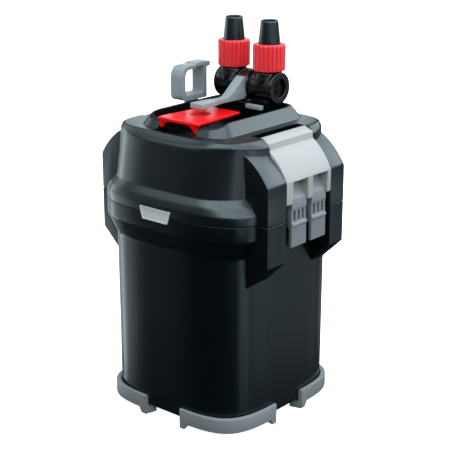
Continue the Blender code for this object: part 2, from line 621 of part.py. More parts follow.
def build():
    for obj in list(bpy.data.objects):
        bpy.data.objects.remove(obj, do_unlink=True)
    slate = material("slate_plastic", (0.030, 0.038, 0.043), 0.42)
    black = material("black_plastic", (0.008, 0.010, 0.012), 0.30)
    foot_grey = material("foot_grey", (0.16, 0.19, 0.20), 0.45)
    clamp_grey = material("clamp_grey", (0.58, 0.61, 0.62), 0.40)
    tongue_grey = material("tongue_grey", (0.22, 0.25, 0.27), 0.45)
    lever_grey = material("lever_grey", (0.28, 0.31, 0.33), 0.42)
    gloss_red = material("gloss_red", (0.78, 0.03, 0.03), 0.20)
    nut_red = material("nut_red", (0.62, 0.035, 0.045), 0.30)
    silver = material("silver_badge", (0.70, 0.71, 0.72), 0.30, 0.9)
    rubber = material("rubber", (0.012, 0.012, 0.012), 0.75)
    steel = material("steel", (0.55, 0.55, 0.55), 0.35, 1.0)
    copper = material("copper_wire", (0.60, 0.25, 0.12), 0.40, 0.8)
    magnet = material("magnet", (0.05, 0.05, 0.055), 0.55)
    ceramic = material("ceramic", (0.80, 0.78, 0.72), 0.60)
    carbon = material("carbon_media", (0.02, 0.02, 0.02), 0.85)
    foam = material("foam", (0.05, 0.05, 0.055), 0.95)

    canister(black)
    for name, qx, qy in (("foot_front_right", 1, -1), ("foot_front_left", -1, -1),
                         ("foot_rear_right", 1, 1), ("foot_rear_left", -1, 1)):
        foot(name, qx, qy, foot_grey)
    head_shell(slate)
    finger_saddle(gloss_red)
    head_base(black)
    seal_ring(rubber)
    badge(silver)
    cord_gland(rubber)
    motor(steel, copper, black)
    impeller_group(magnet, slate, ceramic, rubber)
    ducts(black)
    for label, side in (("right", 1), ("left", -1)):
        clamp(label, side, clamp_grey, steel)
        tongue(f"{label}_tongue_front", side, 0, tongue_grey)
        tongue(f"{label}_tongue_rear", side, 1, tongue_grey)
    valve_body(black)
    valve_rotor("valve_rotor_right", 1, black)
    valve_rotor("valve_rotor_left", -1, black)
    lever(lever_grey, black)
    lock_nut("lock_nut_right", 1, nut_red)
    lock_nut("lock_nut_left", -1, nut_red)
    hose_nipple("hose_nipple_right", 1, slate)
    hose_nipple("hose_nipple_left", -1, slate)
    valve_trim(rubber, lever_grey)
    primer(lever_grey, black, rubber)
    media_stack(black, gloss_red, ceramic, carbon, foam)


build()
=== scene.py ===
"""Looks of the canister filter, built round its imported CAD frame.

Outlines and profiles are in millimetres, measured like the CAD model's: heights start at the
underside of the feet's rims, and LIFT is added to them to give heights above the floor.
"""
import json
from math import cos, pi, radians, sin

import bmesh
import bpy
import numpy as np
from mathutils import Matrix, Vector


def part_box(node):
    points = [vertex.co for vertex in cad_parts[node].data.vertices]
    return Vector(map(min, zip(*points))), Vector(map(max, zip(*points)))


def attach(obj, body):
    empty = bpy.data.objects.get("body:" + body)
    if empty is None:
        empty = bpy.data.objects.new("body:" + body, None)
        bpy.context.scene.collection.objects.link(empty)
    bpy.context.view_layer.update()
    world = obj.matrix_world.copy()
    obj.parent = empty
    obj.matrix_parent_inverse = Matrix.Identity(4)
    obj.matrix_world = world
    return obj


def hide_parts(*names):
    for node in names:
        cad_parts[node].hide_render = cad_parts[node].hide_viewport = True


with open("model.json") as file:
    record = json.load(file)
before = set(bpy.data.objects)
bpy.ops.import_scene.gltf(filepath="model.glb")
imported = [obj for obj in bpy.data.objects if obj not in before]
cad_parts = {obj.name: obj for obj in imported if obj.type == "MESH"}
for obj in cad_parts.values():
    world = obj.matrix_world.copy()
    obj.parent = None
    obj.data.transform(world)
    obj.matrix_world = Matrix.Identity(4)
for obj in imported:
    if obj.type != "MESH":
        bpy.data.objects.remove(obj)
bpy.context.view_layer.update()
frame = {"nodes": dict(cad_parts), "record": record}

MM = 0.001
CANISTER_LOW = 2.2                                   # canister's underside over the rims
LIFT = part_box("canister")[0].z / MM - CANISTER_LOW   # the feet's legs reach this far down
OUTLINE_POINTS = 176


def side_of(node, corner, axis):
    """One side of a CAD node's box, in millimetres."""
    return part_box(node)[corner][axis] / MM


SHOULDER_OUT = side_of("head_shell", 1, 0)
CLAMP_FRONT = side_of("right_clamp", 0, 1)
CLAMP_BACK = side_of("right_clamp", 1, 1)
TONGUE_SPANS = [(side_of(f"right_tongue_{k}", 0, 1), side_of(f"right_tongue_{k}", 1, 1))
                for k in ("front", "rear")]
PORT_X = (side_of("hose_nipple_right", 0, 0) + side_of("hose_nipple_right", 1, 0)) / 2
VALVE_Y = (side_of("hose_nipple_right", 0, 1) + side_of("hose_nipple_right", 1, 1)) / 2
BARREL_Z = (side_of("lever_hub", 0, 2) + side_of("lever_hub", 1, 2)) / 2 - LIFT
BODY_FRONT = side_of("head_shell", 0, 1)
SEAM = side_of("head_shell", 0, 2) - LIFT

# Places that several pieces share.
CLAMP_HINGE = (66.8, 239.5)                          # x and height, on the right side
TONGUE_HINGE = (84.0, 201.2)
PIN_BORE_RADIUS = 2.15
PRIMER_ROD = (-46.8, 14.5)                           # x and y
GLAND = (30.0, 212.0)                                # x and height
COLLAR_Y = 2.0                                       # middle of the raised collar
SIDE_PLAY = 0.4                                      # gap on each side of a clamp


# ---------------------------------------------------------------- materials

def linear(red, green, blue):
    """Linear colour from 0 to 255 screen values."""
    return tuple(((v / 255 + 0.055) / 1.055) ** 2.4 if v > 10 else v / 255 / 12.92
                 for v in (red, green, blue))


# Painted shade inside the head cover: the trough, whose plan is a rounded rectangle, and boxes for
# the finger notch and the clamp pockets are coloured near-black to stand in for their shade. All
# in millimetres.
TROUGH_HALF = (39.3, 50.7)
TROUGH_SQUARENESS = 8.0
TROUGH_BOX = ((-60.0, -60.0, 239.0), (60.0, 60.0, 256.1))
SHADE_BOXES = (((-20.8, -63.6, 239.0), (20.8, -47.0, 246.2)),
              ((-20.8, -60.0, 246.2), (20.8, -45.0, 254.4)),
              ((55.4, -28.05, 225.0), (76.0, 32.25, 246.45)),
              ((-76.0, -28.05, 225.0), (-55.4, 32.25, 246.45)))
# Colour and gloss of the painted shade in those recesses.
WELL_SHADE_BLACK = (7, 8, 9)
WELL_SHADE_SPECULAR = 0.05

TONE_NOISE = 9.0                                     # noise scales, per metre
GLOSS_NOISE = 38.0
GLOSS_DRIFT = (-0.012, 0.014)                        # added to a plastic's roughness
STREAK_GLOSS = (-0.06, 0.08)                         # added to a brushed metal's roughness
STREAK_TONE = 0.86                                   # darkest streak, as a share of the colour
STREAK_DEPTH = 0.01                                  # millimetres
CELL_REACH = (0.05, 0.7)                             # distances that a grain's colours span
WIRE_METALLIC, WIRE_ROUGHNESS = 0.85, 0.38


class Nodes:
    """A material's node tree, with short calls for the nodes this script uses."""

    def __init__(self, name):
        self.material = bpy.data.materials.new(name)
        self.material.use_nodes = True
        self.tree = self.material.node_tree
        self.shader = self.tree.nodes["Principled BSDF"]
        self.where = self.node("ShaderNodeTexCoord").outputs["Object"]

    def node(self, kind, **settings):
        made = self.tree.nodes.new(kind)
        for key, value in settings.items():
            setattr(made, key, value)
        return made

    def link(self, source, target):
        self.tree.links.new(source, target)

    def noise(self, scale, detail=2.0, roughness=0.5, stretch=None):
        made = self.node("ShaderNodeTexNoise")
        made.inputs["Scale"].default_value = scale
        made.inputs["Detail"].default_value = detail
        made.inputs["Roughness"].default_value = roughness
        source = self.where
        if stretch:
            mapping = self.node("ShaderNodeMapping")
            mapping.inputs["Scale"].default_value = stretch
            self.link(source, mapping.inputs["Vector"])
            source = mapping.outputs["Vector"]
        self.link(source, made.inputs["Vector"])
        return made.outputs["Fac"]

    def remap(self, source, low, high, from_low=0.3, from_high=0.7):
        made = self.node("ShaderNodeMapRange")
        for key, value in (("From Min", from_low), ("From Max", from_high), ("To Min", low),
                           ("To Max", high)):
            made.inputs[key].default_value = value
        self.link(source, made.inputs["Value"])
        return made.outputs["Result"]

    def math(self, operation, a, b):
        made = self.node("ShaderNodeMath", operation=operation)
        for socket, value in zip(made.inputs, (a, b)):
            if isinstance(value, (int, float)):
                socket.default_value = value
            else:
                self.link(value, socket)
        return made.outputs[0]

    def mix(self, factor, first, second):
        made = self.node("ShaderNodeMix", data_type="RGBA")
        self.link(factor, made.inputs["Factor"])
        for socket, value in ((made.inputs[6], first), (made.inputs[7], second)):
            if isinstance(value, tuple):
                socket.default_value = (*value, 1.0)
            else:
                self.link(value, socket)
        return made.outputs[2]

    def bump(self, height, depth):
        """Bump of a depth in millimetres."""
        made = self.node("ShaderNodeBump")
        made.inputs["Distance"].default_value = depth * MM
        self.link(height, made.inputs["Height"])
        self.link(made.outputs["Normal"], self.shader.inputs["Normal"])

    def inside(self, split, low, high):
        """1 inside a box given in millimetres, 0 outside."""
        mask = None
        for axis in range(3):
            for operation, limit in (("GREATER_THAN", low[axis]), ("LESS_THAN", high[axis])):
                height = LIFT if axis == 2 else 0.0
                side = self.math(operation, split.outputs[axis], (limit + height) * MM)
                mask = side if mask is None else self.math("MULTIPLY", mask, side)
        return mask

    def in_shaded_well(self):
        """Mask for painted shade: 1 inside the head's trough, finger notch and clamp pockets, 0
        elsewhere.
        """
        split = self.node("ShaderNodeSeparateXYZ")
        self.link(self.where, split.inputs[0])
        spread = None
        for axis, centre, half in zip((0, 1), (0.0, COLLAR_Y), TROUGH_HALF):
            off = self.math("SUBTRACT", split.outputs[axis], centre * MM)
            share = self.math("DIVIDE", self.math("ABSOLUTE", off, 0.0), half * MM)
            term = self.math("POWER", share, TROUGH_SQUARENESS)
            spread = term if spread is None else self.math("ADD", spread, term)
        mask = self.math("MULTIPLY", self.math("LESS_THAN", spread, 1.0),
                         self.inside(split, *TROUGH_BOX))
        for low, high in SHADE_BOXES:
            mask = self.math("MAXIMUM", mask, self.inside(split, low, high))
        return mask


def plastic(name, colour, roughness, specular, tone=0.10, tint=(1.0, 1.0, 1.0), grain=0.0,
            grain_size=900.0, shaded_wells=False):
    """Moulded plastic with a slow drift of tone and gloss; grain adds a fine spark texture, and
    shaded_wells paints shade into the head's recesses.
    """
    n = Nodes(name)
    base = linear(*colour)
    dark = tuple(v * (1 - tone) for v in base)
    light = tuple(min(1.0, v * (1 + tone)) for v in base)
    shown = n.mix(n.remap(n.noise(TONE_NOISE, 3.0), 0.0, 1.0), dark, light)
    n.shader.inputs["Specular IOR Level"].default_value = specular
    n.shader.inputs["Specular Tint"].default_value = (*tint, 1.0)
    if shaded_wells:
        # Painted shade: in the recesses the colour turns near-black and the gloss is turned down.
        sunk = n.in_shaded_well()
        shown = n.mix(sunk, shown, linear(*WELL_SHADE_BLACK))
        n.link(n.remap(sunk, specular, WELL_SHADE_SPECULAR, 0.0, 1.0),
               n.shader.inputs["Specular IOR Level"])
    n.link(shown, n.shader.inputs["Base Color"])
    n.link(n.remap(n.noise(GLOSS_NOISE, 4.0, 0.6), *(roughness + d for d in GLOSS_DRIFT)),
           n.shader.inputs["Roughness"])
    if grain:
        n.bump(n.noise(grain_size, 3.0, 0.6), grain)
    return n.material


def brushed(name, colour, roughness, stretch=(14.0, 900.0, 900.0), metallic=1.0):
    """Brushed or turned metal: fine streaks in its gloss and height."""
    n = Nodes(name)
    streak = n.noise(1.0, 4.0, 0.7, stretch=stretch)
    base = linear(*colour)
    n.link(n.mix(n.remap(streak, 0.0, 1.0), tuple(v * STREAK_TONE for v in base), base),
           n.shader.inputs["Base Color"])
    n.shader.inputs["Metallic"].default_value = metallic
    n.link(n.remap(streak, *(roughness + d for d in STREAK_GLOSS)), n.shader.inputs["Roughness"])
    n.bump(streak, STREAK_DEPTH)
    return n.material


def grainy(name, first, second, size, depth, roughness):
    """Porous or granular stuff, such as foam, carbon and fired ceramic."""
    n = Nodes(name)
    cells = n.node("ShaderNodeTexVoronoi")
    cells.inputs["Scale"].default_value = size
    n.link(n.where, cells.inputs["Vector"])
    spread = n.remap(cells.outputs["Distance"], 0.0, 1.0, *CELL_REACH)
    n.link(n.mix(spread, linear(*first), linear(*second)), n.shader.inputs["Base Color"])
    n.shader.inputs["Roughness"].default_value = roughness
    n.bump(cells.outputs["Distance"], depth)
    return n.material


def windings(name, gap, crest, turns, depth):
    """Enamelled wire: fine turns side by side, with their gap and crest colours."""
    n = Nodes(name)
    wave = n.node("ShaderNodeTexWave", bands_direction="Y")
    wave.inputs["Scale"].default_value = turns
    n.link(n.where, wave.inputs["Vector"])
    n.link(n.mix(wave.outputs["Fac"], linear(*gap), linear(*crest)), n.shader.inputs["Base Color"])
    n.shader.inputs["Metallic"].default_value = WIRE_METALLIC
    n.shader.inputs["Roughness"].default_value = WIRE_ROUGHNESS
    n.bump(wave.outputs["Fac"], depth)
    return n.material


# Colours are screen values from 0 to 255. The dark plastics' gloss has a cool tint.
PLASTICS = {
    "canister_black": dict(colour=(6, 13, 16), roughness=0.26, specular=0.5,
                           tint=(0.76, 0.96, 1.0)),
    "slate_plastic": dict(colour=(7, 13, 16), roughness=0.30, specular=0.95,
                          tint=(0.82, 0.97, 1.0)),
    "inner_black": dict(colour=(17, 19, 21), roughness=0.46, specular=0.25, grain=0.010),
    "foot_grey": dict(colour=(130, 135, 137), roughness=0.44, specular=0.3, grain=0.008,
                      grain_size=1000.0),
    "clamp_grey": dict(colour=(170, 170, 169), roughness=0.42, specular=0.3, tone=0.03,
                       grain=0.006, grain_size=1200.0),
    "tongue_grey": dict(colour=(131, 137, 140), roughness=0.46, specular=0.3, grain=0.016,
                        grain_size=1300.0),
    "lever_grey": dict(colour=(146, 155, 158), roughness=0.40, specular=0.3, tone=0.05,
                       grain=0.006, grain_size=1100.0),
    "gloss_red": dict(colour=(228, 17, 20), roughness=0.26, specular=0.12),
    "nut_red": dict(colour=(238, 54, 62), roughness=0.28, specular=0.6),
    "valve_black": dict(colour=(3, 5, 7), roughness=0.26, specular=0.5),
    "rubber": dict(colour=(22, 22, 23), roughness=0.72, specular=0.3, grain=0.02,
                   grain_size=1400.0),
}
MATERIALS = {name: plastic(name, **look) for name, look in PLASTICS.items()}
MATERIALS["silver_badge"] = brushed("silver_badge", (226, 227, 228), 0.42, metallic=0.25)
MATERIALS["steel"] = brushed("steel", (176, 178, 180), 0.30, stretch=(900.0, 14.0, 900.0))
MATERIALS["copper_wire"] = windings("copper_wire", (92, 44, 22), (190, 104, 58), 420.0, 0.08)
for stuff, *stuff_look in (("ferrite", (46, 46, 50), (64, 64, 68), 1400.0, 0.01, 0.55),
                           ("white_ceramic", (196, 188, 170), (226, 220, 206), 260.0, 0.35, 0.8),
                           ("carbon_media", (14, 14, 15), (44, 44, 46), 330.0, 0.5, 0.7),
                           ("filter_foam", (10, 10, 11), (48, 49, 52), 620.0, 0.5, 0.95)):
    MATERIALS[stuff] = grainy(stuff, *stuff_look)


# ---------------------------------------------------------------- mesh tools

FINE_STEPS = 2880                                    # steps an outline is measured with


def superellipse(half_x, half_y, power, z, count=OUTLINE_POINTS):
    """Plan outline with its points spread evenly along its length."""
    t = np.linspace(0.0, 2 * pi, FINE_STEPS + 1)
    x = half_x * np.sign(np.cos(t)) * np.abs(np.cos(t)) ** (2 / power)
    y = half_y * np.sign(np.sin(t)) * np.abs(np.sin(t)) ** (2 / power)
    run = np.concatenate(([0.0], np.cumsum(np.hypot(np.diff(x), np.diff(y)))))
    at = np.linspace(0.0, run[-1], count, endpoint=False)
    return [(a, b, z) for a, b in zip(np.interp(at, run, x), np.interp(at, run, y))]


def superellipse_point(half_x, half_y, power, angle):
    """Where a line at an angle from the middle meets the outline."""
    c, s = cos(angle), sin(angle)
    reach = ((abs(c) / half_x) ** power + (abs(s) / half_y) ** power) ** (-1 / power)
    return reach * c, reach * s


def bent(before, corner, after, radius, steps):
    """Points of a curve that rounds a corner, for points with any number of values."""
    p0, p1, p2 = (np.array(p, float) for p in (before, corner, after))
    a = p1 + (p0 - p1) * min(0.48, radius / max(1e-6, np.linalg.norm((p0 - p1)[:2])))
    b = p1 + (p2 - p1) * min(0.48, radius / max(1e-6, np.linalg.norm((p2 - p1)[:2])))
    points = []
    for k in range(steps + 1):
        t = k / steps
        points.append(tuple((1 - t) ** 2 * a + 2 * t * (1 - t) * p1 + t ** 2 * b))
    return points


def eased(keys, radii, steps=5):
    """Open profile through keys, each inner key rounded by its radius."""
    points = [tuple(keys[0])]
    for i in range(1, len(keys) - 1):
        if radii[i]:
            points += bent(keys[i - 1], keys[i], keys[i + 1], radii[i], steps)
        else:
            points.append(tuple(keys[i]))
    return points + [tuple(keys[-1])]


def eased_loop(corners, steps):
    """Closed 2-D outline; each corner is (u, v, radius)."""
    outline = []
    for i, (u, v, radius) in enumerate(corners):
        before, after = corners[i - 1], corners[(i + 1) % len(corners)]
        if radius:
            outline += bent(before[:2], (u, v), after[:2], radius, steps)
        else:
            outline.append((u, v))
    return outline


def circle(radius, along, centre, axis, count):
    """Loop round an axis; centre is in the other two axes, in their order."""
    loop = []
    for i in range(count):
        a = 2 * pi * (i + 0.5) / count
        u, v = centre[0] + radius * cos(a), centre[1] + radius * sin(a)
        loop.append({"X": (along, u, v), "Y": (u, along, v), "Z": (u, v, along)}[axis])
    return loop


def arc(centre, radius, start, end, steps):
    """2-D points of an arc between two angles in degrees."""
    turns = [radians(start + (end - start) * i / steps) for i in range(steps + 1)]
    return [(centre[0] + radius * cos(a), centre[1] + radius * sin(a)) for a in turns]


def bulged(start, end, sagitta, steps):
    """Inner points of a shallow curve between two 2-D points."""
    dx, dy = end[0] - start[0], end[1] - start[1]
    length = (dx * dx + dy * dy) ** 0.5
    points = []
    for i in range(1, steps):
        t = i / steps
        rise = 4 * sagitta * t * (1 - t)
        points.append((start[0] + dx * t - dy / length * rise,
                       start[1] + dy * t + dx / length * rise))
    return points


def new_object(name, bm):
    """Mesh object from a finished bmesh."""
    mesh = bpy.data.meshes.new(name)
    bmesh.ops.recalc_face_normals(bm, faces=bm.faces)
    bm.to_mesh(mesh)
    bm.free()
    obj = bpy.data.objects.new(name, mesh)
    bpy.context.scene.collection.objects.link(obj)
    return obj


def skin(name, loops, cyclic=False):
    """Skin a row of loops into one closed mesh object: capped ends, or a closed ring if cyclic."""
    bm = bmesh.new()
    rows = [[bm.verts.new((x * MM, y * MM, (z + LIFT) * MM)) for x, y, z in loop]
            for loop in loops]
    pairs = list(zip(rows, rows[1:]))
    if cyclic:
        pairs.append((rows[-1], rows[0]))
    else:
        bm.faces.new(rows[0])
        bm.faces.new(rows[-1])
    count = len(rows[0])
    for low, high in pairs:
        for i in range(count):
            j = (i + 1) % count
            bm.faces.new((low[i], low[j], high[j], high[i]))
    return new_object(name, bm)


def loft(name, profile, count=OUTLINE_POINTS):
    """Body from rows of height, half width, half depth and squareness."""
    return skin(name, [superellipse(hx, hy, power, z, count) for z, hx, hy, power in profile])


def turned(name, profile, centre, axis, count, hollow=False):
    """Body of revolution from rows of radius and place along the axis.

    A hollow one has its last row joined to its first, and no end caps.
    """
    return skin(name, [circle(r, along, centre, axis, count) for r, along in profile], hollow)


def prism(name, outline, axis, near, far):
    """Outline pushed from near to far along an axis."""
    place = {"X": lambda u, v, w: (w, u, v), "Y": lambda u, v, w: (u, w, v),
             "Z": lambda u, v, w: (u, v, w)}[axis]
    return skin(name, [[place(u, v, w) for u, v in outline] for w in (near, far)])


def block(name, x, y, z):
    """Box between two values on each axis."""
    return prism(name, ((x[0], y[0]), (x[1], y[0]), (x[1], y[1]), (x[0], y[1])), "Z", *z)


def settle(obj):
    """Apply every modifier."""
    depsgraph = bpy.context.evaluated_depsgraph_get()
    mesh = bpy.data.meshes.new_from_object(obj.evaluated_get(depsgraph))
    old = obj.data
    obj.modifiers.clear()
    obj.data = mesh
    bpy.data.meshes.remove(old)
    return obj


def carve(target, operation, *tools):
    """Boolean with tools that are then thrown away."""
    for tool in tools:
        modifier = target.modifiers.new(tool.name, "BOOLEAN")
        modifier.operation = operation
        modifier.object = tool
    settle(target)
    for tool in tools:
        bpy.data.objects.remove(tool)
    return target


def soften(obj, width, angle, segments):
    """Round the edges that are sharper than angle."""
    modifier = obj.modifiers.new("edges", "BEVEL")
    modifier.width = width * MM
    modifier.segments = segments
    modifier.limit_method = "ANGLE"
    modifier.angle_limit = radians(angle)
    modifier.miter_outer = "MITER_ARC"
    return settle(obj)


def remeshed(obj, voxel, rounds):
    """Even mesh whose inner corners flow together, as in a moulded fitting."""
    modifier = obj.modifiers.new("voxels", "REMESH")
    modifier.mode = "VOXEL"
    modifier.voxel_size = voxel * MM
    modifier = obj.modifiers.new("smooth", "SMOOTH")
    modifier.factor = 0.5
    modifier.iterations = rounds
    return settle(obj)


def finish_piece(obj, body, slot, nodes, sharp=30.0):
    """Material, shading with edges sharper than an angle kept sharp, body and replaced nodes."""
    obj.data.materials.clear()
    obj.data.materials.append(MATERIALS[slot])
    obj.data.shade_smooth()
    obj.data.set_sharp_from_angle(angle=radians(sharp))
    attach(obj, body)
    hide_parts(*nodes)


def mirrored(outline, side):
    """Outline of x and height, on the right (1) or left (-1) side."""
    return [(x * side, z) for x, z in outline]


# ---------------------------------------------------------------- canister and feet

# Rows of height, half width, half depth and squareness.
CANISTER_KEYS = ((2.2, 71.2, 72.8, 4.2), (4.4, 73.7, 75.3, 4.2), (152.4, 74.2, 75.7, 4.2),
                 (168.5, 85.4, 80.9, 3.8), (181.7, 85.4, 80.9, 3.8), (181.7, 84.0, 79.6, 3.8))
CANISTER_RADII = (0, 2.0, 1.6, 1.4, 0.5, 0)
CANISTER_INNER = ((6.0, 68.2, 69.8, 4.2), (9.0, 71.2, 72.8, 4.2), (160.0, 71.7, 73.2, 4.2),
                  (166.0, 74.6, 74.0, 4.0), (185.0, 74.6, 74.0, 4.0))
SHOULDER_FRONT = -52.0
SHOULDER_BACK = 51.2
SHOULDER_BANDS = ((SHOULDER_FRONT, CLAMP_FRONT - SIDE_PLAY),
                  (CLAMP_BACK + SIDE_PLAY, SHOULDER_BACK))


def shoulder_blocks(outline):
    """The four shoulders: one in front of and one behind the clamp on each side."""
    blocks = []
    for side in (1, -1):
        for front, back in SHOULDER_BANDS:
            made = prism("shoulder", mirrored(outline, side), "Y", front, back)
            blocks.append(soften(made, width=0.7, angle=40.0, segments=3))
    return blocks


BADGE = ((-20.3, 186.4), (14.4, 186.4), (10.9, 175.2), (-17.1, 175.2))   # x and height
BADGE_SEAT_DEPTH = 1.7
BEFORE_FRONT = -90.0                                 # a plane in front of everything


def badge_outline(grow, radius):
    """The badge's trapezoid, grown on each side, with rounded corners."""
    centre_x = sum(x for x, _ in BADGE) / 4
    centre_z = sum(z for _, z in BADGE) / 4
    corners = []
    for x, z in BADGE:
        corners.append((x + (grow if x > centre_x else -grow),
                        z + (grow if z > centre_z else -grow), radius))
    return eased_loop(corners, 4)


def badge_seat():
    """Shallow recess for the badge, which sits across the seam of canister and head."""
    return prism("badge_seat", badge_outline(0.6, 1.2), "Y", BEFORE_FRONT,
                 BODY_FRONT + BADGE_SEAT_DEPTH)


def canister_wall():
    wall = loft("canister_wall", eased(CANISTER_KEYS, CANISTER_RADII))
    outline = [(69.0, 181.7), (SHOULDER_OUT, 181.7), (SHOULDER_OUT, 146.8), (72.5, 128.0),
               (69.0, 124.7)]
    carve(wall, "UNION", *shoulder_blocks(outline))
    carve(wall, "DIFFERENCE", loft("hollow", CANISTER_INNER, 96), badge_seat())
    finish_piece(wall, "canister_body", "canister_black", ["canister"])


FOOT_OUTER = (77.3, 78.6, 4.5)                       # half width, half depth, squareness
FOOT_INNER = (74.2, 75.8, 4.3)
FOOT_LEDGE = (66.0, 67.6, 4.2)
FOOT_TOP = 12.8
LEDGE_TOP = 1.9
WALL_THICK = 3.1
LEDGE_WIDE = 8.3
FOOT_SPAN = (13.1, 75.7)                             # degrees round the corner
LEG_SPAN = 3.4                                       # degrees of a leg, then of its slope
RAMP_SPAN = 2.0
FOOT_STEPS = 72


def foot_underside(from_end):
    """Height of a foot's underside: a leg at each end, then a shallow arch between them."""
    if from_end <= LEG_SPAN:
        return -LIFT
    if from_end <= LEG_SPAN + RAMP_SPAN:
        t = (from_end - LEG_SPAN) / RAMP_SPAN
        return -LIFT * (1 - t * t * (3 - 2 * t))
    return 0.0


def foot(name, node, quadrant_x, quadrant_y):
    """Corner foot: a wall outside the canister and a ledge under it."""
    loops = []
    for i in range(FOOT_STEPS + 1):
        degrees = FOOT_SPAN[0] + (FOOT_SPAN[1] - FOOT_SPAN[0]) * i / FOOT_STEPS
        under = foot_underside(min(degrees - FOOT_SPAN[0], FOOT_SPAN[1] - degrees))
        outer, inner, ledge = (superellipse_point(*shape, radians(degrees))
                               for shape in (FOOT_OUTER, FOOT_INNER, FOOT_LEDGE))
        reach = WALL_THICK + LEDGE_WIDE
        # The section's corners: distance in from the outer face, height, rounding.
        flat = ((0.0, under, 0.8), (0.0, FOOT_TOP, 1.0), (WALL_THICK, FOOT_TOP, 0.5),
                (WALL_THICK, LEDGE_TOP, 0.0), (reach, LEDGE_TOP, 0.0), (reach, under, 0.0))
        section = []
        for across, z in eased_loop(flat, 3):
            if across <= WALL_THICK:
                t, first, second = across / WALL_THICK, outer, inner
            else:
                t, first, second = (across - WALL_THICK) / LEDGE_WIDE, inner, ledge
            x = first[0] + (second[0] - first[0]) * t
            y = first[1] + (second[1] - first[1]) * t
            section.append((x * quadrant_x, y * quadrant_y, z))
        loops.append(section)
    finish_piece(skin(name, loops), "canister_body", "foot_grey", [node], sharp=38.0)


# ---------------------------------------------------------------- head

# Rows of height, half width, half depth and squareness.
HEAD_KEYS = ((SEAM, 84.0, 79.6, 3.8), (SEAM, 85.4, 80.9, 3.8), (189.3, 85.4, 80.9, 3.8),
             (195.9, 80.9, 78.9, 3.85), (201.4, 74.4, 76.0, 3.9), (240.7, 75.5, 70.5, 3.5),
             (246.5, 67.8, 65.0, 5.5), (246.5, 60.0, 57.0, 5.5))
HEAD_RADII = (0, 0.5, 1.2, 2.2, 1.2, 3.2, 1.5, 0)


def collar_loop(half_x, half_y, corner, z):
    """Rounded rectangle round the collar's middle."""
    corners = [(half_x, COLLAR_Y + half_y, corner), (-half_x, COLLAR_Y + half_y, corner),
               (-half_x, COLLAR_Y - half_y, corner), (half_x, COLLAR_Y - half_y, corner)]
    return [(x, y, z) for x, y in eased_loop(corners, 10)]


def head_shoulder_outline():
    """Outline of x and height of the right shoulder's upper half."""
    top, edge = (70.3, 236.4), (SHOULDER_OUT, 213.2)
    outline = [(66.0, SEAM), (SHOULDER_OUT, SEAM), edge] + bulged(edge, top, -2.0, 14)
    return outline + [top, (66.0, 238.2)]


def raised_collar():
    """The collar round the trough, cut down to a slope at its front."""
    collar = skin("collar", [collar_loop(*row) for row in
                             ((47.6, 58.4, 18.5, 245.8), (40.3, 51.8, 14.5, 256.3),
                              (40.0, 51.5, 14.5, 256.65), (39.6, 51.1, 14.5, 256.8))])
    nose = [(-31.0, 258.0), (-31.0, 256.85), (-38.0, 256.2), (-50.5, 252.6), (-62.0, 249.6),
            (-62.0, 258.0)]
    return carve(collar, "DIFFERENCE", prism("slope", nose, "X", -60.0, 60.0))


def head_cavities():
    """Everything that is cut out of the head cover."""
    hollow = loft("hollow", ((SEAM - 1.0, 80.0, 75.5, 3.8), (187.2, 80.0, 75.5, 3.8),
                             (200.0, 71.2, 72.4, 3.9), (224.0, 71.6, 68.5, 3.6)), 96)
    deck = block("deck_hollow", (-51.0, 51.0), (-55.0, 57.0), (222.0, 236.8))
    trough = skin("trough", [collar_loop(*row) for row in
                             ((36.0, 47.8, 13.5, 240.5), (38.4, 49.9, 14.0, 255.9),
                              (39.2, 50.7, 14.0, 257.2), (39.3, 50.8, 14.0, 262.0))])
    notch = block("notch", (-20.5, 20.5), (-63.4, -40.0), (241.0, 262.0))
    seat = block("seat", (-23.0, 23.0), (-55.6, -40.0), (253.4, 262.0))
    tools = [hollow, deck, trough, notch, seat]
    pocket = [(55.5, 262.0), (55.5, 234.5), (70.0, 234.5), (70.0, 229.0), (76.5, 227.0),
              (100.0, 227.0), (100.0, 262.0)]
    for side in (1, -1):
        tools.append(prism("pocket", mirrored(pocket, side), "Y", CLAMP_FRONT - SIDE_PLAY,
                           CLAMP_BACK + SIDE_PLAY))
        tools.append(turned("pin_bore", ((PIN_BORE_RADIUS, CLAMP_FRONT - 7.4),
                                         (PIN_BORE_RADIUS, CLAMP_BACK + 7.4)),
                            (side * CLAMP_HINGE[0], CLAMP_HINGE[1]), "Y", 24))
        tools.append(turned("socket", ((8.9, 234.0), (8.9, 243.0)), (side * PORT_X, VALVE_Y),
                            "Z", 40))
    tools.append(turned("rod_bore", ((3.5, 220.0), (3.5, 260.0)), PRIMER_ROD, "Z", 32))
    tools.append(turned("gland_bore", ((4.9, 60.0), (4.9, 90.0)), GLAND, "Y", 32))
    tools.append(badge_seat())
    return tools


def head_cover():
    cover = loft("head_cover", eased(HEAD_KEYS, HEAD_RADII))
    collar = raised_collar()
    boss = turned("boss", ((6.6, 245.0), (6.2, 256.0), (5.8, 256.5)), PRIMER_ROD, "Z", 48)
    carve(cover, "UNION", *shoulder_blocks(head_shoulder_outline()), collar, boss)
    carve(cover, "DIFFERENCE", *head_cavities())
    finish_piece(cover, "head", "slate_plastic", ["head_shell"])
    # The head's material paints shade into its trough, finger notch and clamp pockets.
    cover.data.materials[0] = plastic("head_plastic_painted_shade", **PLASTICS["slate_plastic"], shaded_wells=True)


SADDLE_TOP = 256.0
SADDLE_THICK = 2.0
SADDLE_FRONT = -55.0
SADDLE_LENGTH = 58.0
SADDLE_HALF = 22.5                                   # half width in front of the taper
SADDLE_TAPER = 4.1                                   # narrowing of each side over the length
TAPER_START, TAPER_LENGTH = -47.0, 50.0
DIMPLE = (-25.0, 9.5, 1.3)                           # middle, radius and depth
LIP = (-51.0, 4.0, 0.5)                              # start, length and drop


